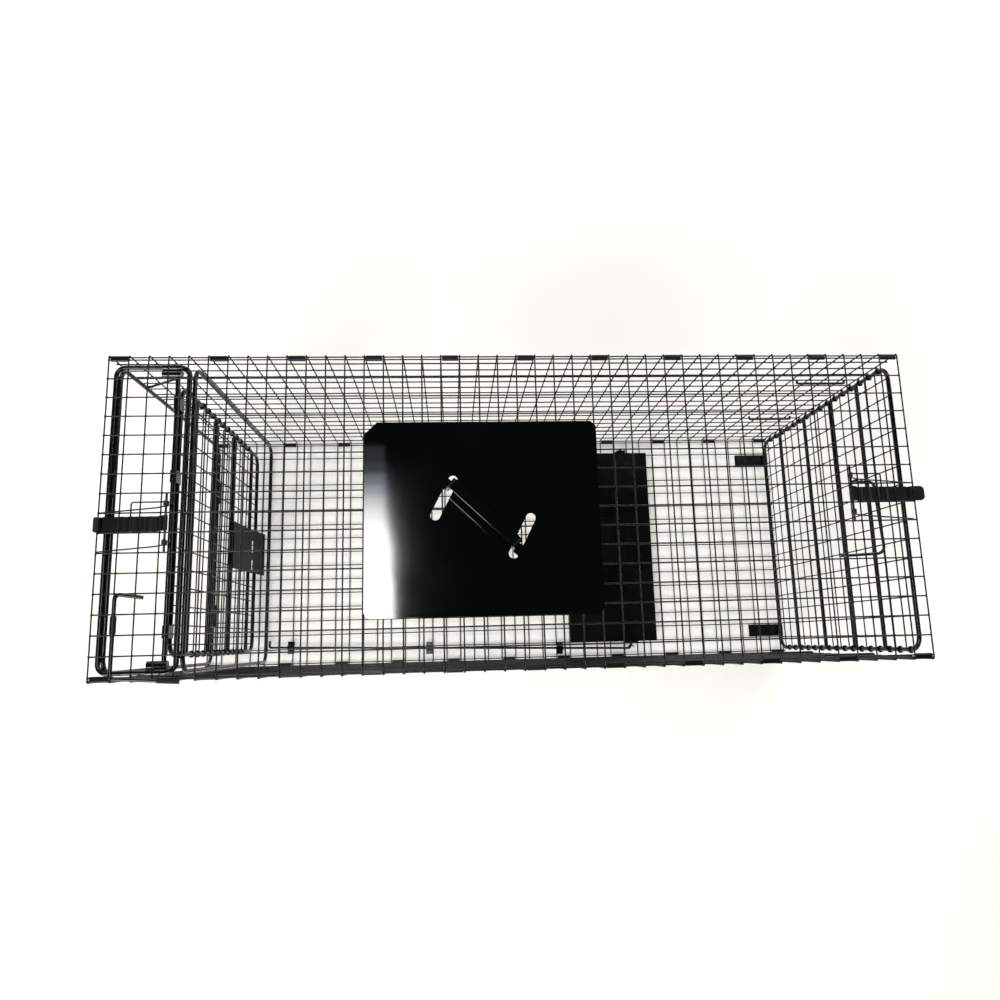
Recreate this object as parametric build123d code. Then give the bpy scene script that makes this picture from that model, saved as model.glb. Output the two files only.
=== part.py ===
from build123d import *
import os
from math import atan, degrees

# Live catch trap: a welded-wire box cage with a gravity door at the front end,
# a drop-down rear door, a trip pan and a swivelling carry handle on a guard plate.
# Millimetres. X runs from the front mouth (-X) to the rear door (+X), +Y is the
# left side seen from the mouth and +Z is up. The origin is on the ground under
# the middle of the cage.

# ---------------------------------------------------------------- dimensions
CELL = 25.4             # pitch of the welded mesh
CELLS_LONG = 42
CELLS_WIDE = 16
CELLS_HIGH = 18
WIRE = 2.0              # mesh wire diameter
ROD = 6.0               # frame rod diameter
SHEET = 1.2             # thin sheet parts
FIT = 0.06              # radial clearance of a running fit
OVERHANG = 2.5          # cross wires run this far past the edge wire
PAD = 1.2               # thickness of the pads under the floor

LENGTH = CELLS_LONG * CELL
WIDTH = CELLS_WIDE * CELL
HEIGHT = CELLS_HIGH * CELL
WIRE_R = WIRE / 2
ROD_R = ROD / 2

FRONT = -LENGTH / 2             # plane of the first cross wire
REAR = LENGTH / 2
RIGHT = -WIDTH / 2              # outermost long wire of the top and floor
LEFT = WIDTH / 2
FLOOR = PAD + WIRE + WIRE_R     # centre of the floor's long wires
TOP = FLOOR + HEIGHT            # centre of the top's long wires
EDGE_GAP = 3.4                  # from a panel's edge wire to the wall's edge wire
FLOOR_TOP = FLOOR + WIRE_R      # what lies on the long wires rests here
TRAY = FLOOR - WIRE_R           # what lies between them rests on the cross wires

SIDE_GAP = 4.5                  # from the edge wire to a frame's side rod
CORNER = 20.0                   # corner radius of the rod frames
LOOP_CORNER = 12.0              # corner radius of the top loop
FRAME_RIGHT = RIGHT + SIDE_GAP
FRAME_LEFT = LEFT - SIDE_GAP
FRAME_LOW = FLOOR_TOP + ROD_R
FRAME_HIGH = TOP - 16.0

MOUTH_X = FRONT + 9.0           # front mouth frame
LOOP_FRONT_X = FRONT + 2.9      # front rod of the top loop
LOOP_REAR_X = FRONT + 98.5      # rear rod of the top loop
INNER_X = FRONT + 105.5         # inner frame behind the front door
DOOR_X = FRONT + 82.0           # front door, closed
DOOR_PIVOT_Z = TOP - 19.0
DOOR_TOP_Z = DOOR_PIVOT_Z - 16.0
DOOR_LOW_Z = FLOOR + 10.7
DOOR_RIGHT = RIGHT + 25.0
DOOR_LEFT = LEFT - 25.0
DOOR_RODS = (-98.0, -191.0, -292.0, -403.0)    # front door cross rods, from the top
LOCK_ROD = 2                                    # the one that carries the lock plate
LOCK_WIDTH = 75.6
LOCK_Y = -5.5
LOCK_WINDOW = 0.59               # share of the plate's height where its two windows are
LOCK_REACH = 17.0               # how far the lock plate's foot stands behind the door

REAR_X = REAR - 5.5             # rear door, closed
REAR_LOW_Z = FLOOR_TOP + ROD_R + 0.4
REAR_RODS = (-100.0, -184.0, -277.0, -377.0)    # rear door cross rods, from the top

AXLE = 3.0                      # latch axle diameter
AXLE_Z = TOP - WIRE_R - AXLE / 2
LATCH_ARM = 78.0                # from the axle to the rod that the latch holds
LATCH_WIDTH = 20.0
LATCH_RUN = AXLE_Z - 9.5        # height of the strap's straight run
COIL_Y = 25.0                   # the spring's coils stand this far off the strap's middle
SPRING_WIRE = 2.0
FRONT_LATCH_Y = -CELL / 2
REAR_LATCH_Y = CELL / 2

PLATE_LONG = 12 * CELL          # guard plate
PLATE_WIDE = 10 * CELL
PLATE_X = FRONT + 484.0
PLATE_Y = RIGHT + 190.0
PLATE_T = 1.5
RAIL_T = 3.2                    # rails that hold the plate above the mesh
MESH_TOP = TOP + WIRE + WIRE_R
PLATE_Z = MESH_TOP + RAIL_T     # underside of the plate
SLOT_LONG = 64.0
SLOT_WIDE = 12.7
SLOT_OFFSET = 56.0              # from the plate's middle to a slot's middle
SLOT_ANGLE = -27.0              # direction from one slot to the other
HANDLE_ANGLE = -43.6            # direction of the handle at rest
HANDLE_R = 57.0                 # from the swivel axis to a leg
HANDLE_RISE = 36.0              # underside of the grip above the plate

PAN_FRONT = FRONT + 658.0
PAN_REAR = FRONT + 820.0
PAN_RIGHT = RIGHT + 24.5
PAN_LEFT = LEFT - 25.0
PAN_PIVOT_X = FRONT + 772.0
PAN_PIVOT_Z = FLOOR + 13.2
PAN_ROD = 5.0
PAN_Z = PAN_PIVOT_Z + 3.9       # underside of the pan
TRIP_ROD = 4.0

LEVER = 5.0                     # trigger lever rod
LEVER_X = FRONT + 28.0
LEVER_Z = MESH_TOP + LEVER / 2 + 0.9


# ---------------------------------------------------------------- helpers
def bar(start, end, diameter):
    """A straight round bar between two points."""
    line = Line(start, end)
    profile = Plane(origin=line @ 0, z_dir=line % 0) * Circle(diameter / 2)
    return extrude(profile, amount=line.length)


def bent_bar(points, diameter, radii):
    """A round bar along straight runs joined by arcs."""
    path = FilletPolyline(*points, radius=radii)
    profile = Plane(origin=path @ 0, z_dir=path % 0) * Circle(diameter / 2)
    return sweep(profile, path=path)


def ring(corners, diameter, radius):
    """A closed rod frame with four rounded corners."""
    path = FilletPolyline(*corners, radius=radius, close=True)
    profile = Plane(origin=path @ 0, z_dir=path % 0) * Circle(diameter / 2)
    return sweep(profile, path=path)


def upright_ring(x, right, left, low, high):
    """A closed rod frame in a plane across the cage."""
    return ring([(x, right, low), (x, left, low), (x, left, high), (x, right, high)], ROD, CORNER)


def tube_y(x, z, outer, inner, start, end):
    """A tube along Y."""
    section = Circle(outer) - Circle(inner)
    plane = Plane(origin=(x, start, z), z_dir=(0, 1, 0))
    return extrude(plane * section, amount=end - start)


def box(x0, x1, y0, y1, z0, z1):
    """A block between two corners."""
    block = Box(x1 - x0, y1 - y0, z1 - z0)
    return Pos((x0 + x1) / 2, (y0 + y1) / 2, (z0 + z1) / 2) * block


def save(shape, name):
    """Writes one node; a list becomes a group of separate solids."""
    if isinstance(shape, list):
        shape = Compound(children=shape)
    export_step(shape, f"parts/{name}.step")


os.makedirs("parts", exist_ok=True)


# ---------------------------------------------------------------- mesh panels
def flat_panel(long_z, cross_z):
    """Top or floor: long wires in one layer, cross wires welded across them."""
    wires = []
    for row in range(CELLS_WIDE + 1):
        y = RIGHT + row * CELL
        wires.append(bar((FRONT - OVERHANG, y, long_z), (REAR + OVERHANG, y, long_z), WIRE))
    for column in range(CELLS_LONG + 1):
        x = FRONT + column * CELL
        wires.append(bar((x, RIGHT - OVERHANG, cross_z), (x, LEFT + OVERHANG, cross_z), WIRE))
    return wires


def wall_panel(side):
    """Side wall: long wires inside, upright wires outside. side is -1 or 1."""
    long_y = side * (WIDTH / 2 + EDGE_GAP)
    upright_y = long_y + side * WIRE
    end = 1.5
    wires = []
    for row in range(CELLS_HIGH + 1):
        z = FLOOR + row * CELL
        wires.append(bar((FRONT - OVERHANG, long_y, z), (REAR + OVERHANG, long_y, z), WIRE))
    for column in range(CELLS_LONG + 1):
        x = FRONT + column * CELL
        wires.append(bar((x, upright_y, FLOOR - end), (x, upright_y, TOP + end), WIRE))
    return wires


save(flat_panel(TOP, TOP + WIRE), "top_mesh")
save(flat_panel(FLOOR, FLOOR - WIRE), "floor_mesh")
save(wall_panel(-1), "right_wall_mesh")
save(wall_panel(1), "left_wall_mesh")

# ---------------------------------------------------------------- edge clips
CLIP_CELLS = (0, 5, 9, 13, 17, 21, 25, 29, 33, 37, 41)
CLIP_LONG = 21.5
CLIP_T = 1.0
CLIP_BORE = WIRE_R + 0.15


def edge_clips(side, z):
    """Flattened tubes that join a flat panel's edge wire to the wall's edge wire."""
    inner = SlotCenterToCenter(EDGE_GAP, 2 * CLIP_BORE)
    outer = SlotCenterToCenter(EDGE_GAP, 2 * (CLIP_BORE + CLIP_T))
    section = outer - inner
    clips = []
    for cell in CLIP_CELLS:
        x = FRONT + (cell + 0.5) * CELL - CLIP_LONG / 2
        y = side * (WIDTH / 2 + EDGE_GAP / 2)
        plane = Plane(origin=(x, y, z), x_dir=(0, 1, 0), z_dir=(1, 0, 0))
        clips.append(extrude(plane * section, amount=CLIP_LONG))
    return clips


save(edge_clips(-1, TOP), "top_right_clips")
save(edge_clips(1, TOP), "top_left_clips")
save(edge_clips(-1, FLOOR), "floor_right_clips")
save(edge_clips(1, FLOOR), "floor_left_clips")

# ---------------------------------------------------------------- rod frames
save(upright_ring(MOUTH_X, FRAME_RIGHT, FRAME_LEFT, FRAME_LOW, FRAME_HIGH), "front_mouth_frame")
save(upright_ring(INNER_X, FRAME_RIGHT, FRAME_LEFT, FRAME_LOW, FRAME_HIGH), "inner_frame")

LOOP_RIGHT = RIGHT + SIDE_GAP
LOOP_LEFT = LEFT - SIDE_GAP
loop_corners = [
    (LOOP_FRONT_X, LOOP_RIGHT, FRAME_HIGH),
    (LOOP_REAR_X, LOOP_RIGHT, FRAME_HIGH),
    (LOOP_REAR_X, LOOP_LEFT, FRAME_HIGH),
    (LOOP_FRONT_X, LOOP_LEFT, FRAME_HIGH),
]
save(ring(loop_corners, ROD, LOOP_CORNER), "top_loop")

# ---------------------------------------------------------------- front door hinge
SLEEVE_LONG = 24.0
SLEEVE_T = 1.5
EAR_T = 2.4
BARREL_R = 5.5


def hinge_bracket(side):
    """A sleeve on the top loop's side rod, with a barrel and an ear for the pivot rod."""
    y = side * (WIDTH / 2 - SIDE_GAP)
    start = LOOP_REAR_X - LOOP_CORNER - SLEEVE_LONG
    plane = Plane(origin=(start, y, FRAME_HIGH), x_dir=(0, 1, 0), z_dir=(1, 0, 0))
    sleeve = extrude(plane * Circle(ROD_R + SLEEVE_T), amount=SLEEVE_LONG)
    ear_out = y - side * (ROD_R + SLEEVE_T - 0.4)
    low, high = sorted((ear_out, ear_out - side * EAR_T))
    ear = box(DOOR_X - 10, DOOR_X + 5, low, high, DOOR_PIVOT_Z - 8, FRAME_HIGH + 2)
    barrel_y = y - side * (ROD_R + BARREL_R + 0.2)
    barrel_plane = Plane(origin=(DOOR_X - 20, barrel_y, DOOR_PIVOT_Z), x_dir=(0, 1, 0), z_dir=(1, 0, 0))
    barrel = extrude(barrel_plane * Circle(BARREL_R), amount=25)
    pivot_hole = bar((DOOR_X, y, DOOR_PIVOT_Z), (DOOR_X, y - side * 18, DOOR_PIVOT_Z), ROD)
    loop_hole = extrude(plane * Circle(ROD_R), amount=SLEEVE_LONG)
    return sleeve + ear + barrel - pivot_hole - loop_hole


save([hinge_bracket(-1), hinge_bracket(1)], "door_hinge_brackets")

PIVOT_END = WIDTH / 2 - SIDE_GAP - ROD_R - SLEEVE_T
save(bar((DOOR_X, -PIVOT_END, DOOR_PIVOT_Z), (DOOR_X, PIVOT_END, DOOR_PIVOT_Z), ROD), "door_pivot_rod")

# ---------------------------------------------------------------- front door
save(upright_ring(DOOR_X, DOOR_RIGHT, DOOR_LEFT, DOOR_LOW_Z, DOOR_TOP_Z), "front_door_frame")


def cross_rods(x, right, left, heights):
    """Rods across a door frame, ending at its side rods."""
    rods = []
    for drop in heights:
        rods.append(bar((x, right + ROD_R, TOP + drop), (x, left - ROD_R, TOP + drop), ROD))
    return rods


save(cross_rods(DOOR_X, DOOR_RIGHT, DOOR_LEFT, DOOR_RODS), "front_door_cross_rods")


def door_mesh(face_x, side_y, low, high, top_row, columns, rows):
    """Mesh on one face of a door: uprights on the rods, cross wires on the uprights."""
    wires = []
    for column in range(columns):
        y = (column - (columns - 1) / 2) * CELL
        wires.append(bar((face_x, y, low), (face_x, y, high), WIRE))
    for row in range(rows):
        z = top_row - row * CELL
        x = face_x - WIRE
        wires.append(bar((x, -side_y, z), (x, side_y, z), WIRE))
    return wires


def wire_wraps(x, side_y, top_row, rows, rods):
    """Turns of mesh wire round a door's side rods, clear of its cross rods."""
    turns = []
    for row in range(rows):
        z = top_row - row * CELL
        nearest = min(abs(z - TOP - drop) for drop in rods)
        if nearest > ROD_R + WIRE_R + 0.3:
            for side in (-1, 1):
                turns.append(Pos(x, side * side_y, z) * Torus(ROD_R + WIRE_R, WIRE_R))
    return turns


DOOR_ROW = TOP - 45.0
DOOR_ROWS = 16
DOOR_SIDE = DOOR_LEFT
door_face = DOOR_X - ROD_R - WIRE_R
save(
    door_mesh(door_face, DOOR_SIDE, DOOR_LOW_Z, DOOR_TOP_Z, DOOR_ROW, 14, DOOR_ROWS),
    "front_door_mesh",
)
door_wraps = wire_wraps(DOOR_X, DOOR_SIDE, DOOR_ROW - CELL, DOOR_ROWS - 2, DOOR_RODS)
save(door_wraps, "front_door_wire_wraps")

STRAP_WIDTH = 16.0


def hinge_strap(y):
    """A sheet loop round the pivot rod and the door's top rod."""
    drop = DOOR_PIVOT_Z - DOOR_TOP_Z
    inner = SlotCenterToCenter(drop, 2 * (ROD_R + FIT))
    outer = SlotCenterToCenter(drop, 2 * (ROD_R + FIT + SHEET))
    middle = (DOOR_PIVOT_Z + DOOR_TOP_Z) / 2
    plane = Plane(origin=(DOOR_X, y - STRAP_WIDTH / 2, middle), x_dir=(0, 0, 1), z_dir=(0, 1, 0))
    return extrude(plane * (outer - inner), amount=STRAP_WIDTH)


save([hinge_strap(y) for y in (-149.2, 2 * CELL, 149.2)], "front_door_hinge_straps")

LOCK_Z = TOP + DOOR_RODS[LOCK_ROD]
LOCK_FOOT = FLOOR + 11.8


def sloping_sheet(start, end, thickness, width):
    """A flat sheet between two points of the X-Z plane, centred on Y = 0."""
    line = Line((start[0], 0, start[1]), (end[0], 0, end[1]))
    plane = Plane(origin=line @ 0, x_dir=(0, 1, 0), z_dir=line % 0)
    return extrude(plane * Rectangle(width, thickness), amount=line.length)


def lock_plate():
    """A windowed plate that hangs on a door cross rod and slopes back to the floor."""
    half = LOCK_WIDTH / 2
    start = (DOOR_X + ROD_R + 0.6, LOCK_Z - 1.5)
    end = (DOOR_X + LOCK_REACH, LOCK_FOOT)
    sheet = sloping_sheet(start, end, 1.5, LOCK_WIDTH)
    x = start[0] + (end[0] - start[0]) * LOCK_WINDOW
    z = start[1] + (end[1] - start[1]) * LOCK_WINDOW
    for middle, long in ((8.0, 21.0), (-24.0, 17.0)):
        sheet -= Pos(x, middle, z) * Box(12, long, 9)
    knuckles = []
    for low, high in ((-31.1, -13.6), (half - 17.5, half)):
        knuckles.append(tube_y(DOOR_X, LOCK_Z, ROD_R + FIT + 1.5, ROD_R + FIT, low, high))
    bore = bar((DOOR_X, -LOCK_WIDTH, LOCK_Z), (DOOR_X, LOCK_WIDTH, LOCK_Z), ROD + 2 * FIT)
    return Pos(0, LOCK_Y, 0) * (sheet - bore + knuckles[0] + knuckles[1])


save(lock_plate(), "door_lock_plate")

# ---------------------------------------------------------------- rear door
REAR_SIDE = WIDTH / 2 - 6.0
REAR_ROW = TOP - 38.0
REAR_ROWS = 16
rear_face = REAR_X - ROD_R - WIRE_R
save(upright_ring(REAR_X, -REAR_SIDE, REAR_SIDE, REAR_LOW_Z, FRAME_HIGH), "rear_door_frame")
save(cross_rods(REAR_X, -REAR_SIDE, REAR_SIDE, REAR_RODS), "rear_door_cross_rods")
save(
    door_mesh(rear_face, REAR_SIDE, REAR_LOW_Z + 7, FRAME_HIGH, REAR_ROW, 15, REAR_ROWS),
    "rear_door_mesh",
)
rear_wraps = wire_wraps(REAR_X, REAR_SIDE, REAR_ROW, REAR_ROWS, REAR_RODS)
save(rear_wraps, "rear_door_wire_wraps")

# ---------------------------------------------------------------- floor brackets, pads and rivets
BRACKET_WIDTH = 20.0
REAR_BRACKET_Y = 6.5 * CELL
REAR_TAIL = 56.0
FRONT_PAD_Y = 4.5 * CELL         # pads welded under the floor below the mouth frame
RIVET = 4.0
RIVET_HEAD = 9.0
RIVET_RISE = 1.6


def floor_bracket(x, z, step, tail, y, radius):
    """A sheet knuckle round a rod at floor level, with a tail that lies between long wires."""
    plane = Plane(origin=(x, y - BRACKET_WIDTH / 2, z), z_dir=(0, 1, 0))
    knuckle = extrude(plane * Circle(radius + SHEET), amount=BRACKET_WIDTH)
    ends = sorted((x, x + step * tail))
    low = y - BRACKET_WIDTH / 2
    high = y + BRACKET_WIDTH / 2
    sheet = box(ends[0], ends[1], low, high, TRAY, TRAY + SHEET)
    bore = extrude(plane * Circle(radius), amount=BRACKET_WIDTH)
    return knuckle + sheet - bore


def rivet(x, y, sheet_top):
    """A rivet from the underside of a pad up through the sheet that it holds."""
    shank = Pos(x, y, sheet_top / 2) * Cylinder(RIVET / 2, sheet_top)
    head = Pos(x, y, sheet_top + RIVET_RISE / 2) * Cylinder(RIVET_HEAD / 2, RIVET_RISE)
    head = fillet(head.edges().group_by(Axis.Z)[-1], RIVET_RISE * 0.7)
    return shank + head


def drilled(sheet, spots):
    """A sheet with rivet holes."""
    for x, y in spots:
        sheet -= Pos(x, y, 0) * Cylinder(RIVET / 2, 100)
    return sheet


def cell_middle(x):
    """The middle of the floor cell that holds this distance behind the mouth."""
    return FRONT + (x // CELL + 0.5) * CELL


rear_spots = [FRONT + 1022.0, FRONT + 1048.0]
pan_spot = cell_middle(774.0)
PAN_BRACKET_Y = 6.5 * CELL

rear_brackets = []
pads = []
rivets = []
for side in (-1, 1):
    y = side * REAR_BRACKET_Y
    holes = [(x, y) for x in rear_spots]
    bracket = floor_bracket(REAR_X, REAR_LOW_Z, -1, REAR_TAIL, y, ROD_R + FIT)
    rear_brackets.append(drilled(bracket, holes))
    pads.append(drilled(box(REAR_X - 58, REAR_X + 4, y - 11, y + 11, 0, PAD), holes))
    rivets += [rivet(x, y, TRAY + SHEET) for x in rear_spots]
    y = side * FRONT_PAD_Y
    pads.append(box(MOUTH_X - 5, MOUTH_X + 5, y - 20, y + 20, 0, PAD))
    y = side * PAN_BRACKET_Y
    pads.append(drilled(box(pan_spot - 15, pan_spot + 15, y - 11, y + 11, 0, PAD), [(pan_spot, y)]))
    rivets.append(rivet(pan_spot, y, FLOOR_TOP + 1.5))
save(rear_brackets, "rear_door_floor_brackets")
save(pads, "floor_pads")
save(rivets, "floor_rivets")

# ---------------------------------------------------------------- side rods
STAY = 3.6
STAY_Y = WIDTH / 2 + EDGE_GAP - WIRE_R - STAY / 2
STAY_END = WIDTH / 2 + EDGE_GAP + WIRE + 0.6


def stay_rod(side, start, end, drop):
    """A rod along the inside of a wall, its ends turned out through the mesh."""
    z = TOP + drop
    points = [
        (FRONT + start, side * STAY_END, z),
        (FRONT + start, side * STAY_Y, z),
        (FRONT + end, side * STAY_Y, z),
        (FRONT + end, side * STAY_END, z),
    ]
    return bent_bar(points, STAY, 2.2)


stays = []
for side in (-1, 1):
    stays.append(stay_rod(side, 974, 1048, -109))
    stays.append(stay_rod(side, 974, 1048, -301))
save(stays, "rear_stay_rods")

hook_path = [
    (FRONT + 62, STAY_END, TOP - 73),
    (FRONT + 62, STAY_Y, TOP - 73),
    (FRONT + 12, STAY_Y, TOP - 109),
    (FRONT + 1, STAY_Y, TOP - 109),
    (FRONT + 3, STAY_Y, TOP - 97),
]
save(bent_bar(hook_path, STAY, 2.2), "front_side_hook")

# ---------------------------------------------------------------- latches
LATCH_T = 1.2
HOOK_LOW = -15.2
ARM_H = -6.6
LEG_H = -9.1


def latch_line(tab_end):
    """Centre line of a latch strap: distance along the strap and height from its axle."""
    low = LATCH_RUN - AXLE_Z
    line = [(0.5, -2.16), (7, -2.16), (13, low)]
    for band in range(4):
        start = 18 + 12 * band
        line += [(start, low), (start + 2, low + 1.2), (start + 6, low + 1.2), (start + 8, low)]
    return line + [(81.6, low), (83.4, HOOK_LOW), (88.6, -9.0), (tab_end, -7.4)]


def latch_strap(axle_x, step, y, tab_end, corner):
    """A corrugated sheet strap with a hook and a thumb tab with rounded corners."""
    line = latch_line(tab_end)
    points = [(axle_x + step * along, 0, AXLE_Z + height) for along, height in line]
    path = FilletPolyline(*points, radius=0.9)
    start_plane = Plane(origin=path @ 0, x_dir=(0, 1, 0), z_dir=path % 0)
    sheet = sweep(start_plane * Rectangle(LATCH_WIDTH, LATCH_T), path=path)
    length = tab_end + 20
    middle_x = axle_x + step * (tab_end - length / 2)
    outline = RectangleRounded(length, LATCH_WIDTH, corner)
    outline = Pos(middle_x, 0, AXLE_Z - 30) * extrude(outline, amount=60)
    knuckle = tube_y(axle_x, AXLE_Z, AXLE / 2 + FIT + LATCH_T, AXLE / 2 + FIT, -9.9, 9.9)
    bore = bar((axle_x, -50, AXLE_Z), (axle_x, 50, AXLE_Z), AXLE + 2 * FIT)
    return Pos(0, y, 0) * ((sheet & outline) + knuckle - bore)


def spring_arm(axle_x, step, y):
    """The spring's free end, which lies across the strap."""
    points = [
        (axle_x + step * 3.0, y + COIL_Y + 3.0, AXLE_Z - 4.8),
        (axle_x + step * 14.0, y + COIL_Y + 3.0, AXLE_Z + ARM_H),
        (axle_x + step * 46.0, y + COIL_Y + 3.0, AXLE_Z + ARM_H),
        (axle_x + step * 46.0, y - 9.5, AXLE_Z + ARM_H),
    ]
    return bent_bar(points, SPRING_WIRE, [3.0, 3.0])


def spring_legs(axle_x, step, y):
    """Coils round the axle and the legs that run from them over the end frame."""
    pieces = []
    for side in (-1, 1):
        middle = y + side * COIL_Y
        coil = tube_y(axle_x, AXLE_Z, 3.7, AXLE / 2 + 0.1, middle - 4, middle + 4)
        inner = y + side * 25.0 - 3.0
        points = [
            (axle_x + step * 2.5, inner, AXLE_Z - 4.9),
            (axle_x + step * 15.0, inner - 1.0, AXLE_Z + LEG_H),
            (axle_x + step * 88.0, inner - 7.0, AXLE_Z + LEG_H),
        ]
        pieces += [coil, bent_bar(points, SPRING_WIRE, 5.0)]
    return pieces


FRONT_AXLE_X = LOOP_FRONT_X + LATCH_ARM
REAR_AXLE_X = REAR_X - LATCH_ARM
for name, axle_x, step, y, tab_end, corner in (
    ("front", FRONT_AXLE_X, -1, FRONT_LATCH_Y, 92.5, 3.0),
    ("rear", REAR_AXLE_X, 1, REAR_LATCH_Y, 106.0, 6.0),
):
    save(bar((axle_x, y - 39, AXLE_Z), (axle_x, y + 39, AXLE_Z), AXLE), f"{name}_latch_axle")
    save(latch_strap(axle_x, step, y, tab_end, corner), f"{name}_latch_strap")
    save(spring_arm(axle_x, step, y), f"{name}_latch_spring_arm")
    save(spring_legs(axle_x, step, y), f"{name}_latch_spring_legs")

BAIL = 4.0
BAIL_Z = LATCH_RUN - 0.6 - 0.4 - BAIL / 2
bail_path = [
    (FRONT + 39 * CELL, 30.0, TOP + WIRE_R),
    (FRONT + 39 * CELL, 30.0, BAIL_Z),
    (FRONT + 1022, 30.0, BAIL_Z),
    (FRONT + 1027, -68, BAIL_Z),
    (FRONT + 38 * CELL, -71, BAIL_Z),
    (FRONT + 38 * CELL, -71, TOP + WIRE_R),
]
save(bent_bar(bail_path, BAIL, [4.0, 7.0, 10.0, 4.0]), "rear_latch_stop")

# ---------------------------------------------------------------- guard plate and carry handle
TAB_T = 1.2
TAB_WIDE = 16.0
CHAMFER = 7.0
FAR_CHAMFER = 16.0              # the cut corner on the left, nearest the mouth


def guard_plate():
    """A plate with cut corners, two slots and four tabs folded under the mesh."""
    x = PLATE_LONG / 2
    y = PLATE_WIDE / 2
    cut = CHAMFER
    far = FAR_CHAMFER
    outline = Polyline(
        (-x, y - far), (-x + far, y), (x - cut, y), (x, y - cut),
        (x, cut - y), (x - cut, -y), (cut - x, -y), (-x, cut - y),
        close=True,
    )
    plate = extrude(make_face(outline), amount=PLATE_T)
    for turn in (0, 180):
        slot = Pos(SLOT_OFFSET, 0, 0) * Rot(0, 0, 90) * SlotOverall(SLOT_LONG, SLOT_WIDE)
        plate -= extrude(Rot(0, 0, SLOT_ANGLE + turn) * slot, amount=PLATE_T)
    plate = Pos(PLATE_X, PLATE_Y, PLATE_Z) * plate
    low = TOP - WIRE_R - TAB_T
    for column in (-4, 4):
        x = cell_middle(PLATE_X - FRONT + column * CELL)
        for side in (-1, 1):
            edge = PLATE_Y + side * PLATE_WIDE / 2
            wall = sorted((edge, edge - side * TAB_T))
            lip = sorted((edge, edge - side * 17.0))
            plate += box(x - TAB_WIDE / 2, x + TAB_WIDE / 2, wall[0], wall[1], low, PLATE_Z + PLATE_T)
            plate += box(x - TAB_WIDE / 2, x + TAB_WIDE / 2, lip[0], lip[1], low, low + TAB_T)
    return plate


save(guard_plate(), "guard_plate")

rails = []
for side in (-1, 1):
    edge = PLATE_Y + side * (PLATE_WIDE / 2 - 6.0)
    near, far = sorted((edge, edge - side * 8.0))
    rails.append(box(PLATE_X - 120, PLATE_X + 120, near, far, MESH_TOP, PLATE_Z))
save(rails, "guard_plate_rails")

HANDLE_T = 2.4
HANDLE_WIDTH = 14.0
FOOT = 14.0
FOOT_Z = MESH_TOP + RAIL_T / 2
GRIP_Z = PLATE_Z + PLATE_T + HANDLE_RISE + HANDLE_T / 2


def carry_handle():
    """A strap handle whose feet run under the plate."""
    line = [
        (-HANDLE_R - FOOT, 0, FOOT_Z),
        (-HANDLE_R, 0, FOOT_Z),
        (-HANDLE_R, 0, GRIP_Z),
        (HANDLE_R, 0, GRIP_Z),
        (HANDLE_R, 0, FOOT_Z),
        (HANDLE_R + FOOT, 0, FOOT_Z),
    ]
    path = FilletPolyline(*line, radius=[2.0, 9.0, 9.0, 2.0])
    start_plane = Plane(origin=path @ 0, x_dir=(0, 1, 0), z_dir=path % 0)
    strap = sweep(start_plane * Rectangle(HANDLE_WIDTH, HANDLE_T), path=path)
    return Pos(PLATE_X, PLATE_Y, 0) * Rot(0, 0, HANDLE_ANGLE) * strap


save(carry_handle(), "carry_handle")

# ---------------------------------------------------------------- trip pan
PAN_FLANGE = 4.0
BRACKET_IN = 181.0
BRACKET_OUT = 183.0
CRANK_IN = 186.5
CRANK_OUT = 188.5
LUG_Y = 150.0
TRIP_Z = FLOOR_TOP + 2.5
TRIP_END = (FRONT + 112.0, RIGHT + 30.0)
TRIP_Y = RIGHT + 12.0
TRIP_PIN_R = TRIP_ROD / 2 + 0.35

pan = box(PAN_FRONT, PAN_REAR, PAN_RIGHT, PAN_LEFT, PAN_Z, PAN_Z + SHEET)
pan += box(PAN_FRONT, PAN_FRONT + SHEET, PAN_RIGHT, PAN_LEFT, PAN_Z - PAN_FLANGE, PAN_Z)
pan += box(PAN_REAR - SHEET, PAN_REAR, PAN_RIGHT, PAN_LEFT, PAN_Z - PAN_FLANGE, PAN_Z)
lugs = []
pan_rivets = []
for side in (-1, 1):
    y = side * LUG_Y
    lug = box(PAN_PIVOT_X - 7, PAN_PIVOT_X + 7, y - 1, y + 1, PAN_PIVOT_Z - 6, PAN_Z)
    lug += box(PAN_PIVOT_X - 14, PAN_PIVOT_X + 14, y - 1, y + 13, PAN_Z - 1.3, PAN_Z)
    lug -= bar((PAN_PIVOT_X, y - 5, PAN_PIVOT_Z), (PAN_PIVOT_X, y + 14, PAN_PIVOT_Z), PAN_ROD)
    for x in (PAN_PIVOT_X - 10, PAN_PIVOT_X + 10):
        hole = Pos(x, y + 7, PAN_Z) * Cylinder(1.6, 8)
        lug -= hole
        pan -= hole
        pin = Pos(x, y + 7, PAN_Z + (SHEET - 1.3) / 2) * Cylinder(1.6, SHEET + 1.3)
        head = Pos(x, y + 7, PAN_Z + SHEET + 0.6) * Cylinder(3.4, 1.2)
        pan_rivets.append(pin + head)
    lugs.append(lug)
save(pan, "trip_pan")
save(lugs, "trip_pan_lugs")
save(pan_rivets, "trip_pan_rivets")
pivot_start = (PAN_PIVOT_X, -CRANK_OUT, PAN_PIVOT_Z)
pivot_end = (PAN_PIVOT_X, BRACKET_OUT + 3, PAN_PIVOT_Z)
save(bar(pivot_start, pivot_end, PAN_ROD), "trip_pan_pivot_rod")

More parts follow.
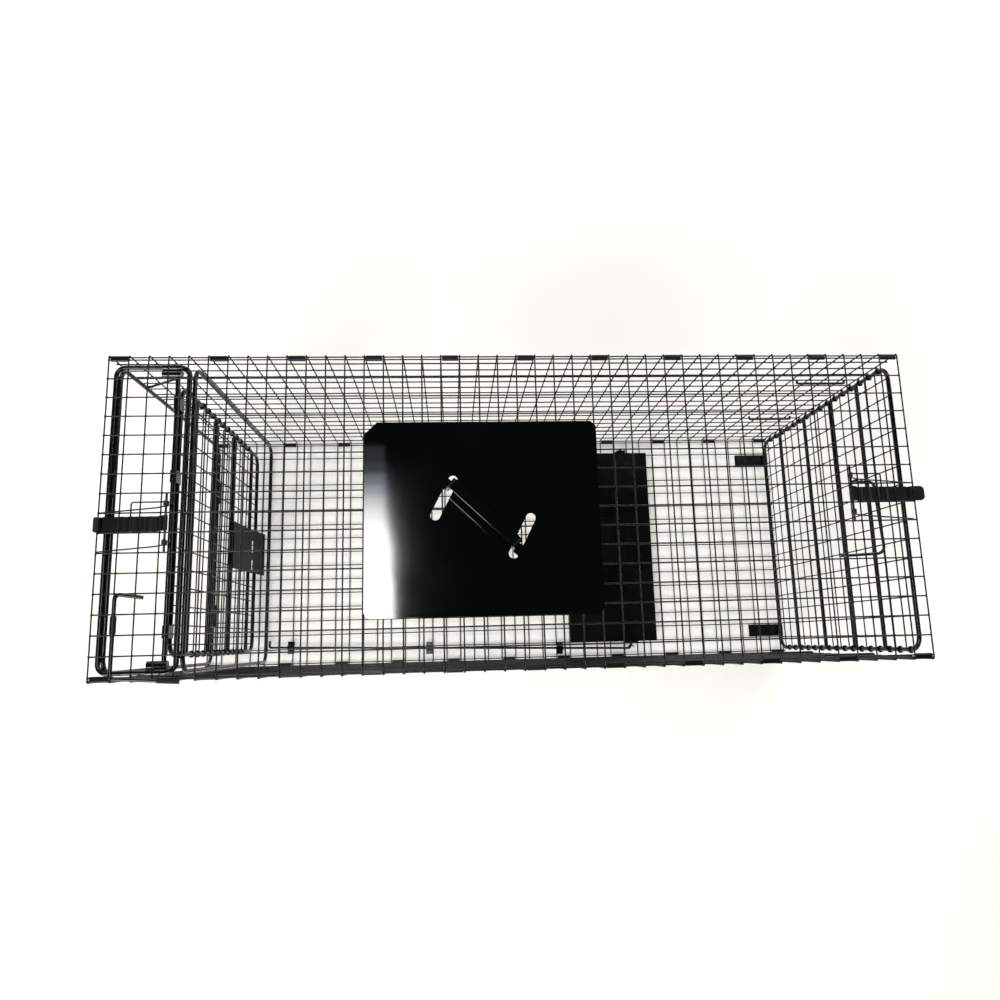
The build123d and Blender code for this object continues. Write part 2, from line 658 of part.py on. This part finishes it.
crank_plane = Plane(origin=(PAN_PIVOT_X, -CRANK_IN, 0), x_dir=(1, 0, 0), z_dir=(0, -1, 0))
crank_web = Pos(0, (PAN_PIVOT_Z + TRIP_Z) / 2) * Rectangle(8, PAN_PIVOT_Z - TRIP_Z)
crank_face = Pos(0, PAN_PIVOT_Z) * Circle(6) + Pos(0, TRIP_Z) * Circle(4) + crank_web
crank_face -= Pos(0, PAN_PIVOT_Z) * Circle(PAN_ROD / 2)
crank_face -= Pos(0, TRIP_Z) * Circle(TRIP_PIN_R)
save(extrude(crank_plane * crank_face, amount=CRANK_OUT - CRANK_IN), "trip_pan_crank")

brackets = []
for side in (-1, 1):
    near, far = sorted((side * BRACKET_IN, side * BRACKET_OUT))
    inner, outer = sorted((side * 154.5, side * BRACKET_OUT))
    foot = box(pan_spot - 14, pan_spot + 14, inner, outer, FLOOR_TOP, FLOOR_TOP + 1.5)
    foot = drilled(foot, [(pan_spot, side * PAN_BRACKET_Y)])
    upright = box(PAN_PIVOT_X - 9, PAN_PIVOT_X + 9, near, far, FLOOR_TOP, PAN_PIVOT_Z + 8)
    hole_start = (PAN_PIVOT_X, near - 1, PAN_PIVOT_Z)
    upright -= bar(hole_start, (PAN_PIVOT_X, far + 1, PAN_PIVOT_Z), PAN_ROD + 2 * FIT)
    brackets.append(foot + upright)
save(brackets, "trip_pan_brackets")

trip_path = [
    (PAN_PIVOT_X, -CRANK_IN + 1.5, TRIP_Z),
    (PAN_PIVOT_X, TRIP_Y, TRIP_Z),
    (TRIP_END[0], TRIP_END[1], TRIP_Z),
    (TRIP_END[0], TRIP_END[1] + 12, TRIP_Z),
]
save(bent_bar(trip_path, TRIP_ROD, 2.4), "trip_rod")

trip_slope = (TRIP_END[1] - TRIP_Y) / (TRIP_END[0] - PAN_PIVOT_X)
guides = []
for x in (150, 400, 640):
    guide_x = FRONT + x
    guide_y = TRIP_Y + (guide_x - PAN_PIVOT_X) * trip_slope
    guide = box(-6, 6, -4.4, 4.4, 0, 6.2)
    guide = fillet(guide.edges().filter_by(Axis.X).group_by(Axis.Z)[-1], 2.5)
    guide += box(-6, 6, -11, 11, 0, 1.2)
    guide -= bar((-10, 0, 2.5), (10, 0, 2.5), TRIP_ROD + 0.8)
    turn = Rot(0, 0, degrees(atan(trip_slope)))
    guides.append(Pos(guide_x, guide_y, FLOOR_TOP) * turn * guide)
save(guides, "trip_rod_guides")

# ---------------------------------------------------------------- trigger lever
LEVER_RIGHT = RIGHT - 1.0
LEVER_LEFT = RIGHT + 101.0
lever_path = [
    (FRONT + 62, RIGHT + 96, LEVER_Z),
    (LEVER_X, LEVER_LEFT, LEVER_Z),
    (LEVER_X, LEVER_RIGHT, LEVER_Z),
    (FRONT + 108, RIGHT - 6, LEVER_Z),
]
save(bent_bar(lever_path, LEVER, 6.0), "trigger_lever")

arm_start = Vector(LEVER_X, LEVER_RIGHT, LEVER_Z)
arm_end = Vector(FRONT + 108, RIGHT - 6, LEVER_Z)
arm_way = (arm_end - arm_start).normalized()
sleeve_plane = Plane(origin=arm_end - arm_way * 24, z_dir=arm_way)
sleeve = extrude(sleeve_plane * Circle(3.2), amount=26)
sleeve -= extrude(sleeve_plane * Circle(LEVER / 2), amount=24)
save(sleeve, "trigger_lever_sleeve")

CLIP_IN = RIGHT + 52.0
CLIP_OUT = RIGHT + 74.0
shaft_tube = tube_y(LEVER_X, LEVER_Z, LEVER / 2 + FIT + SHEET, LEVER / 2 + FIT, CLIP_IN, CLIP_OUT)
wire_curl = tube_y(FRONT + CELL, TOP + WIRE, WIRE_R + 1.0, WIRE_R, CLIP_IN, CLIP_OUT)
save(shaft_tube + wire_curl, "trigger_lever_clip")
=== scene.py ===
import math

import bpy
from mathutils import Matrix, Vector, noise


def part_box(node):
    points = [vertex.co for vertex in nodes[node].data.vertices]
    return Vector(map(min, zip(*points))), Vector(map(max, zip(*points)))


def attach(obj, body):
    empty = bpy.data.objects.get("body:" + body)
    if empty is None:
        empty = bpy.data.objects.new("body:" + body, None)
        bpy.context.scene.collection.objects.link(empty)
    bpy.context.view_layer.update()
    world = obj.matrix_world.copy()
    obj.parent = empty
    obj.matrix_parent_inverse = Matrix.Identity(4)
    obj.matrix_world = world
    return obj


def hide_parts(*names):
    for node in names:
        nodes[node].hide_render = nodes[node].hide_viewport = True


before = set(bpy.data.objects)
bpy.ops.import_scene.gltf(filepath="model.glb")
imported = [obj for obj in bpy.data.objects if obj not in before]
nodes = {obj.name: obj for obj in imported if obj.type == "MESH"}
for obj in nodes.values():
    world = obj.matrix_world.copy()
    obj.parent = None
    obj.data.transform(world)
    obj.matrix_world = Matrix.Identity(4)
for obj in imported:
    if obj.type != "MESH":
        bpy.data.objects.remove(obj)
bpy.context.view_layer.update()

# Live catch trap. Metres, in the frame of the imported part: +X runs from the front
# mouth to the rear door, +Y is the left side and +Z is up. The ground is z = 0.

CELL = 0.0254           # pitch of the welded mesh
WIRE_R = 0.001          # radius of the mesh wire
OVERHANG = 0.0025       # how far a panel's wires run past the last crossing
END_GAP = 0.0004        # keeps a wire's domed end inside the CAD panel's box
COLUMNS = 42            # squares along, across and up the cage
ACROSS = 16
UP = 18

X_AXIS = Vector((1, 0, 0))
Y_AXIS = Vector((0, 1, 0))
Z_AXIS = Vector((0, 0, 1))

top_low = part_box("top_mesh")[0]
floor_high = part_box("floor_mesh")[1]
FRONT = top_low.x + OVERHANG            # the first crossing of the top panel
RIGHT = top_low.y + OVERHANG
TOP = top_low.z + WIRE_R                # centres of the long wires
FLOOR = floor_high.z - WIRE_R
REAR = FRONT + COLUMNS * CELL
LEFT = RIGHT + ACROSS * CELL


# ---------------------------------------------------------------- mesh building
DOME_REACH = 0.35       # a wire's domed end, as shares of its radius
DOME_WIDTH = 0.55
TUBE_SIDES = 8
BEAD_SIDES = 6
BEAD_ROWS = (-0.62, 0.0, 0.62)


class Shell:
    """Collects vertices and faces for one mesh object."""

    def __init__(self):
        self.points = []
        self.faces = []

    def band(self, lower, upper, sides):
        """Quads between two rings, each given by its first vertex."""
        for k in range(sides):
            n = (k + 1) % sides
            self.faces.append((lower + k, lower + n, upper + n, upper + k))

    def caps(self, first, last, sides):
        """Closes the first and the last ring."""
        self.faces.append(tuple(first + k for k in reversed(range(sides))))
        self.faces.append(tuple(last + k for k in range(sides)))

    def tube(self, path, radius, sides=TUBE_SIDES):
        """A round tube along a list of points, closed with domed ends."""
        count = len(path)
        directions = []
        for i in range(count):
            ahead = path[min(i + 1, count - 1)]
            behind = path[max(i - 1, 0)]
            directions.append((ahead - behind).normalized())
        side = directions[0].orthogonal().normalized()
        rings = []
        first = path[0] - directions[0] * radius * DOME_REACH
        last = path[-1] + directions[-1] * radius * DOME_REACH
        stations = [(first, directions[0], DOME_WIDTH)]
        stations += [(p, d, 1.0) for p, d in zip(path, directions)]
        stations.append((last, directions[-1], DOME_WIDTH))
        for centre, along, scale in stations:
            side = (side - along * side.dot(along)).normalized()
            other = along.cross(side)
            rings.append(len(self.points))
            for k in range(sides):
                angle = 2 * math.pi * k / sides
                offset = side * math.cos(angle) + other * math.sin(angle)
                self.points.append(centre + offset * radius * scale)
        for lower, upper in zip(rings, rings[1:]):
            self.band(lower, upper, sides)
        self.caps(rings[0], rings[-1], sides)

    def bead(self, centre, size):
        """A small blob of weld under the coating."""
        start = len(self.points)
        for row in BEAD_ROWS:
            width = math.sqrt(1 - row * row)
            for k in range(BEAD_SIDES):
                angle = 2 * math.pi * k / BEAD_SIDES
                x = math.cos(angle) * width * size.x
                y = math.sin(angle) * width * size.y
                self.points.append(centre + Vector((x, y, row * size.z)))
        rings = [start + level * BEAD_SIDES for level in range(len(BEAD_ROWS))]
        for lower, upper in zip(rings, rings[1:]):
            self.band(lower, upper, BEAD_SIDES)
        self.caps(rings[0], rings[-1], BEAD_SIDES)

    def build(self, name, material, body, slot, *replaced):
        """Makes the object, rides it on a body and lets it stand for CAD nodes."""
        mesh = bpy.data.meshes.new(name)
        mesh.from_pydata([tuple(p) for p in self.points], [], self.faces)
        mesh.polygons.foreach_set("use_smooth", [True] * len(mesh.polygons))
        mesh.materials.append(material)
        piece = bpy.data.objects.new(name, mesh)
        bpy.context.scene.collection.objects.link(piece)
        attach(piece, body)
        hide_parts(*replaced)


SWAY = 0.0004           # how far a wire strays from straight
SWAY_DETAIL = 6.0       # scale of the noise that moves it
STATIONS_PER_CELL = 2
END_HOLD = 8            # the sway fades out over the last eighth of a wire


def wander(point, amount, across, seed):
    """Moves a point a little to one side, as drawn wire is never quite straight."""
    spot = point * SWAY_DETAIL + Vector((seed, seed * 0.37, seed * 0.71))
    return point + across * (noise.noise(spot) * amount)


def wire(shell, start, end, cells, seed, normal):
    """A nearly straight wire that stays in its panel's plane, given by its normal."""
    across = (end - start).cross(normal).normalized()
    steps = max(2, cells * STATIONS_PER_CELL)
    path = []
    for i in range(steps + 1):
        point = start.lerp(end, i / steps)
        held = min(i, steps - i) / steps
        path.append(wander(point, SWAY * min(1.0, END_HOLD * held), across, seed))
    shell.tube(path, WIRE_R)


# ---------------------------------------------------------------- materials
def node_tree(name):
    material = bpy.data.materials.new(name)
    material.use_nodes = True
    tree = material.node_tree
    return material, tree, tree.nodes["Principled BSDF"]


def noise_node(tree, scale, detail):
    """Noise that keeps its place on the object."""
    spot = tree.nodes.new("ShaderNodeTexCoord")
    texture = tree.nodes.new("ShaderNodeTexNoise")
    texture.inputs["Scale"].default_value = scale
    texture.inputs["Detail"].default_value = detail
    tree.links.new(spot.outputs["Object"], texture.inputs["Vector"])
    return texture


def coated(name, colour, dusty, roughness, grain, bump, shine):
    """Black coating: slow shifts in tone, patches of dust and a fine orange-peel bump."""
    material, tree, shader = node_tree(name)
    patches = noise_node(tree, 9.0, 6.0)
    patches.inputs["Roughness"].default_value = 0.6
    tone = tree.nodes.new("ShaderNodeValToRGB")
    clean, dust = tone.color_ramp.elements
    clean.position = 0.35
    clean.color = (*colour, 1)
    dust.position = 0.75
    dust.color = (*dusty, 1)
    gloss = tree.nodes.new("ShaderNodeMapRange")
    gloss.inputs["From Min"].default_value = 0.3
    gloss.inputs["From Max"].default_value = 0.7
    gloss.inputs["To Min"].default_value = roughness[0]
    gloss.inputs["To Max"].default_value = roughness[1]
    peel = noise_node(tree, grain, 3.0)
    relief = tree.nodes.new("ShaderNodeBump")
    relief.inputs["Strength"].default_value = bump
    relief.inputs["Distance"].default_value = 0.0002
    tree.links.new(patches.outputs["Fac"], tone.inputs["Fac"])
    tree.links.new(patches.outputs["Fac"], gloss.inputs["Value"])
    tree.links.new(peel.outputs["Fac"], relief.inputs["Height"])
    tree.links.new(tone.outputs["Color"], shader.inputs["Base Color"])
    tree.links.new(gloss.outputs["Result"], shader.inputs["Roughness"])
    tree.links.new(relief.outputs["Normal"], shader.inputs["Normal"])
    shader.inputs["Specular IOR Level"].default_value = shine
    return material


# Each coating: clean colour, dusty colour, roughness range, grain, bump and shine.
WIRE_COAT = coated(
    "black_wire_coat",
    (0.0022, 0.0021, 0.0022), (0.005, 0.0048, 0.005), (0.2, 0.32), 900.0, 0.3, 0.28,
)
ROD_COAT = coated(
    "black_rod_coat",
    (0.0014, 0.0014, 0.0015), (0.003, 0.003, 0.0032), (0.12, 0.24), 700.0, 0.2, 0.4,
)
PLATE_COAT = coated(
    "black_plate_coat",
    (0.001, 0.0012, 0.0012), (0.0018, 0.0022, 0.0022), (0.045, 0.085), 320.0, 0.02, 0.5,
)
PAN_COAT = coated(
    "black_pan_coat",
    (0.001, 0.001, 0.001), (0.0025, 0.0025, 0.0024), (0.2, 0.34), 420.0, 0.1, 0.3,
)
STRAP_COAT = coated(
    "black_strap_coat",
    (0.003, 0.003, 0.003), (0.008, 0.0078, 0.007), (0.34, 0.5), 500.0, 0.2, 0.25,
)
BRACKET_COAT = coated(
    "gloss_bracket_coat",
    (0.002, 0.002, 0.0022), (0.004, 0.004, 0.0045), (0.08, 0.16), 500.0, 0.1, 0.5,
)
LOCK_COAT = coated(
    "dull_lock_plate_coat",
    (0.002, 0.002, 0.002), (0.004, 0.004, 0.004), (0.4, 0.55), 500.0, 0.2, 0.1,
)
CLIP_COAT = coated(
    "black_clip_coat",
    (0.002, 0.002, 0.002), (0.005, 0.005, 0.005), (0.28, 0.42), 650.0, 0.25, 0.3,
)
SPRING_STEEL = coated(
    "dark_spring_wire",
    (0.003, 0.003, 0.003), (0.01, 0.0095, 0.009), (0.25, 0.42), 800.0, 0.3, 0.35,
)
RIVET_COAT = coated(
    "black_rivet_coat",
    (0.004, 0.004, 0.004), (0.01, 0.01, 0.01), (0.2, 0.35), 700.0, 0.3, 0.4,
)
RUBBER = coated(
    "matte_black_rubber",
    (0.003, 0.003, 0.003), (0.007, 0.0068, 0.0066), (0.55, 0.75), 1200.0, 0.5, 0.25,
)

PAINT = {
    "guard_plate": PLATE_COAT,
    "carry_handle": PLATE_COAT,
    "guard_plate_rails": CLIP_COAT,
    "trip_pan": PAN_COAT,
    "door_lock_plate": LOCK_COAT,
    "front_latch_strap": STRAP_COAT,
    "rear_latch_strap": STRAP_COAT,
    "door_hinge_brackets": BRACKET_COAT,
    "trigger_lever_sleeve": RUBBER,
    "floor_rivets": RIVET_COAT,
    "trip_pan_rivets": RIVET_COAT,
}
for name, node in nodes.items():
    paint = PAINT.get(name, ROD_COAT)
    if name not in PAINT and ("clip" in name or "bracket" in name):
        paint = CLIP_COAT
    if "spring" in name:
        paint = SPRING_STEEL
    node.data.materials.clear()
    node.data.materials.append(paint)


# ---------------------------------------------------------------- wire panels
BEAD_FLAT = Vector((0.0016, 0.0016, 0.0009))    # thin across the panel that it lies in
BEAD_WALL = Vector((0.0016, 0.0009, 0.0016))
BEAD_DOOR = Vector((0.0009, 0.0016, 0.0016))
CROSS_SEED = 50         # a panel's cross wires are seeded this far past its long wires


def flat_panel(name, long_z, cross_z, seed):
    """Top or floor: long wires with cross wires welded over or under them."""
    shell = Shell()
    rows = [RIGHT + row * CELL for row in range(ACROSS + 1)]
    for row, y in enumerate(rows):
        start = Vector((FRONT - OVERHANG + END_GAP, y, long_z))
        end = Vector((REAR + OVERHANG - END_GAP, y, long_z))
        wire(shell, start, end, COLUMNS, seed + row, Z_AXIS)
    for column in range(COLUMNS + 1):
        x = FRONT + column * CELL
        start = Vector((x, RIGHT - OVERHANG + END_GAP, cross_z))
        end = Vector((x, LEFT + OVERHANG - END_GAP, cross_z))
        wire(shell, start, end, ACROSS, seed + CROSS_SEED + column, Z_AXIS)
        for y in rows:
            shell.bead(Vector((x, y, (long_z + cross_z) / 2)), BEAD_FLAT)
    shell.build(name + "_wires", WIRE_COAT, "cage", "powder_coated_wire", name)


def wall_panel(name, side, seed):
    """Side wall: long wires inside and upright wires outside."""
    shell = Shell()
    low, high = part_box(name)
    inner, outer = (low.y, high.y) if side > 0 else (high.y, low.y)
    long_y = inner + side * WIRE_R
    upright_y = outer - side * WIRE_R
    rows = [FLOOR + row * CELL for row in range(UP + 1)]
    for row, z in enumerate(rows):
        start = Vector((FRONT - OVERHANG + END_GAP, long_y, z))
        end = Vector((REAR + OVERHANG - END_GAP, long_y, z))
        wire(shell, start, end, COLUMNS, seed + row, Y_AXIS)
    for column in range(COLUMNS + 1):
        x = FRONT + column * CELL
        start = Vector((x, upright_y, low.z + END_GAP))
        end = Vector((x, upright_y, high.z - END_GAP))
        wire(shell, start, end, UP, seed + CROSS_SEED + column, Y_AXIS)
        for z in rows:
            shell.bead(Vector((x, (long_y + upright_y) / 2, z)), BEAD_WALL)
    shell.build(name + "_wires", WIRE_COAT, "cage", "powder_coated_wire", name)


flat_panel("top_mesh", TOP, TOP + 2 * WIRE_R, 3)
flat_panel("floor_mesh", FLOOR, FLOOR - 2 * WIRE_R, 203)
wall_panel("right_wall_mesh", -1, 403)
wall_panel("left_wall_mesh", 1, 603)


def door_panel(name, body, columns, rows, row_top, seed):
    """Door mesh: uprights against the door's rods and cross wires on the uprights."""
    shell = Shell()
    low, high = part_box(name)
    upright_x = high.x - WIRE_R
    cross_x = low.x + WIRE_R
    reach = [v.co.z for v in nodes[name].data.vertices if v.co.x > high.x - WIRE_R / 2]
    upright_low = min(reach)
    upright_high = max(reach)
    places = [(c - (columns - 1) / 2) * CELL for c in range(columns)]
    for index, y in enumerate(places):
        start = Vector((upright_x, y, upright_low + END_GAP))
        end = Vector((upright_x, y, upright_high - END_GAP))
        wire(shell, start, end, rows, seed + index, X_AXIS)
    for row in range(rows):
        z = row_top - row * CELL
        start = Vector((cross_x, low.y + END_GAP, z))
        end = Vector((cross_x, high.y - END_GAP, z))
        wire(shell, start, end, columns, seed + CROSS_SEED + row, X_AXIS)
        if upright_low < z < upright_high:
            for y in places:
                shell.bead(Vector(((upright_x + cross_x) / 2, y, z)), BEAD_DOOR)
    shell.build(name + "_wires", WIRE_COAT, body, "powder_coated_wire", name)


FRONT_DOOR_DROP = 0.045     # from the top's long wires down to a door's first cross wire
REAR_DOOR_DROP = 0.038
door_panel("front_door_mesh", "front_door", 14, 16, TOP - FRONT_DOOR_DROP, 803)
door_panel("rear_door_mesh", "rear_door", 15, 16, TOP - REAR_DOOR_DROP, 903)


# ---------------------------------------------------------------- latch springs
SPRING_WIRE_R = 0.00098
SPRING_SIDES = 10
COIL_TURNS = 4
COIL_STEPS = 16         # points in one turn
COIL_R = 0.0027
COIL_HALF = 0.0031      # half the length of a coil
COIL_Y = 0.025          # from the middle of the axle to the middle of a coil
LEG_Y = 0.003           # from the middle of a coil to its leg
# Bends of a leg: distance from the axle, shift to the right and drop below the axle.
LEG_BENDS = (
    (0.0050, 0.0, 0.0046),
    (0.0140, 0.0010, 0.0086),
    (0.0170, 0.0012, 0.0091),
    (0.0875, 0.0070, 0.0091),
)


def latch_spring(end, step):
    """Two close-wound coils on the latch axle and the legs that run over the end frame."""
    shell = Shell()
    low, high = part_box(end + "_latch_axle")
    axle = (low + high) / 2
    points = COIL_TURNS * COIL_STEPS
    for side in (-1, 1):
        centre = axle.y + side * COIL_Y
        path = []
        for i in range(points + 1):
            angle = 2 * math.pi * i / COIL_STEPS - math.pi / 2
            x = axle.x + step * COIL_R * math.cos(angle)
            y = centre + COIL_HALF - 2 * COIL_HALF * i / points
            path.append(Vector((x, y, axle.z + COIL_R * math.sin(angle))))
        for along, shift, drop in LEG_BENDS:
            path.append(Vector((axle.x + step * along, centre - LEG_Y - shift, axle.z - drop)))
        shell.tube(path, SPRING_WIRE_R, SPRING_SIDES)
    name = end + "_latch_spring"
    shell.build(name, SPRING_STEEL, "cage", "spring_wire", name + "_legs")


latch_spring("front", -1)
latch_spring("rear", 1)

# ---------------------------------------------------------------- camera
SENSOR_WIDTH = 36.0
FOCAL_SHARE = 0.76742       # focal length as a share of the sensor's width
CAMERA_TURNS = ((0.8401, "Z"), (3.7129, "Y"), (-10.3229, "X"))      # degrees
CAMERA_SPOT = Vector((0.44187, 0.03372, 0.98399))   # from the top's front right crossing

camera_data = bpy.data.cameras.new("camera")
camera_data.sensor_width = SENSOR_WIDTH
camera_data.lens = FOCAL_SHARE * SENSOR_WIDTH
camera_data.clip_end = 50.0
camera = bpy.data.objects.new("camera", camera_data)
bpy.context.scene.collection.objects.link(camera)
turn = Matrix.Identity(3)
for degrees, axis in CAMERA_TURNS:
    turn = turn @ Matrix.Rotation(math.radians(degrees), 3, axis)
eye = Vector((FRONT, RIGHT, TOP)) + CAMERA_SPOT
camera.matrix_world = Matrix.Translation(eye) @ turn.transposed().to_4x4()
bpy.context.scene.camera = camera

# ---------------------------------------------------------------- stage
STAGE_HALF = 60
STAGE_Z = -0.0002           # just under the pads

stage_corners = [(-1, -1), (1, -1), (1, 1), (-1, 1)]
floor_mesh = bpy.data.meshes.new("floor")
floor_mesh.from_pydata(
    [(x * STAGE_HALF, y * STAGE_HALF, 0) for x, y in stage_corners], [], [(0, 1, 2, 3)],
)
floor = bpy.data.objects.new("floor", floor_mesh)
bpy.context.scene.collection.objects.link(floor)
floor.location.z = STAGE_Z
paper, tree, shader = node_tree("white_paper")
shader.inputs["Base Color"].default_value = (0.8, 0.785, 0.745, 1)
shader.inputs["Emission Color"].default_value = (1.0, 0.985, 0.94, 1)
shader.inputs["Emission Strength"].default_value = 0.3
shader.inputs["Roughness"].default_value = 0.9
shader.inputs["Specular IOR Level"].default_value = 0.1
floor_mesh.materials.append(paper)


# ---------------------------------------------------------------- light
def softbox(name, place, target, width, height, watts):
    """A rectangular area light aimed at a point."""
    data = bpy.data.lights.new(name, "AREA")
    data.shape = "RECTANGLE"
    data.size = width
    data.size_y = height
    data.energy = watts
    light = bpy.data.objects.new(name, data)
    bpy.context.scene.collection.objects.link(light)
    light.location = place
    aim = Vector(target) - Vector(place)
    light.rotation_euler = aim.to_track_quat("-Z", "Y").to_euler()
    return light


# One white card over the trap, made of bands that fade towards the far side. The guard
# plate mirrors it. Each band has the stretch of the plate that it shows in, measured from
# the plate's right edge, how far it reaches in from the front edge, and its radiance.
CARD_BANDS = (
    (-0.100, 0.048, 0.038, 34.0),
    (0.048, 0.094, 0.036, 34.0),
    (0.094, 0.110, 0.033, 34.0),
    (0.110, 0.125, 0.031, 27.0),
    (0.125, 0.140, 0.029, 22.0),
    (0.140, 0.155, 0.028, 16.0),
    (0.155, 0.170, 0.028, 9.5),
    (0.170, 0.185, 0.028, 4.4),
    (0.185, 0.200, 0.028, 1.2),
    (0.200, 0.222, 0.026, 0.7),
)
CARD_HEIGHT = 1.5           # above the plate
CARD_PAST_FRONT = 0.03      # how far the card runs on past the plate's front edge
BLUISH = (0.8, 0.91, 1.0)
BLUISH_BELOW = 12.0         # radiance under which a band is bluish

plate_low, plate_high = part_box("guard_plate")
card_z = plate_high.z + CARD_HEIGHT
rise = CARD_HEIGHT / (eye.z - plate_high.z)


def mirrored(x, y):
    """Where a card at card_z shows in the plate, for a point of the plate."""
    return (x + (x - eye.x) * rise, y + (y - eye.y) * rise)


west = mirrored(plate_low.x, 0)[0] - CARD_PAST_FRONT
for near, far, reach, radiance in CARD_BANDS:
    east, south = mirrored(plate_low.x + reach, plate_low.y + near)
    north = mirrored(0, plate_low.y + far)[1]
    middle = ((west + east) / 2, (south + north) / 2)
    card = softbox(
        "card", (*middle, card_z), (*middle, 0.0), east - west, north - south,
        math.pi * radiance * (east - west) * (north - south),
    )
    if radiance < BLUISH_BELOW:
        card.data.color = BLUISH

# Each softbox: place, target, width, height and watts.
softbox("key", (-1.6, -2.6, 2.6), (-0.1, 0.0, 0.0), 1.8, 1.8, 128)
softbox("fill", (1.9, 2.7, 2.7), (0.1, 0.1, 0.0), 1.8, 1.8, 60)
softbox("side", (2.6, 1.4, 1.9), (0.1, 0.0, 0.1), 1.0, 0.5, 18)
softbox("rear", (-0.9, 2.9, 1.9), (0.0, 0.0, 0.2), 1.6, 0.5, 26)

# The room is bright at the horizon and dark overhead. Each band: height and colour.
ROOM = (
    (0.0, (0.5, 0.5, 0.51, 1)),
    (0.8, (0.012, 0.014, 0.016, 1)),
    (0.1, (0.32, 0.32, 0.3296, 1)),
    (0.3, (0.12, 0.12, 0.1236, 1)),
    (0.5, (0.04, 0.04, 0.0412, 1)),
)
world = bpy.data.worlds.new("room")
bpy.context.scene.world = world
world.use_nodes = True
tree = world.node_tree
background = tree.nodes["Background"]
spot = tree.nodes.new("ShaderNodeTexCoord")
split = tree.nodes.new("ShaderNodeSeparateXYZ")
ramp = tree.nodes.new("ShaderNodeValToRGB")
bands = ramp.color_ramp.elements
for band, (height, colour) in zip(bands, ROOM[:2]):
    band.position = height
    band.color = colour
for height, colour in ROOM[2:]:
    bands.new(height).color = colour
tree.links.new(spot.outputs["Generated"], split.inputs["Vector"])
tree.links.new(split.outputs["Z"], ramp.inputs["Fac"])
tree.links.new(ramp.outputs["Color"], background.inputs["Color"])
background.inputs["Strength"].default_value = 1.0

bpy.context.scene.view_settings.view_transform = "Standard"
bpy.context.scene.view_settings.look = "None"
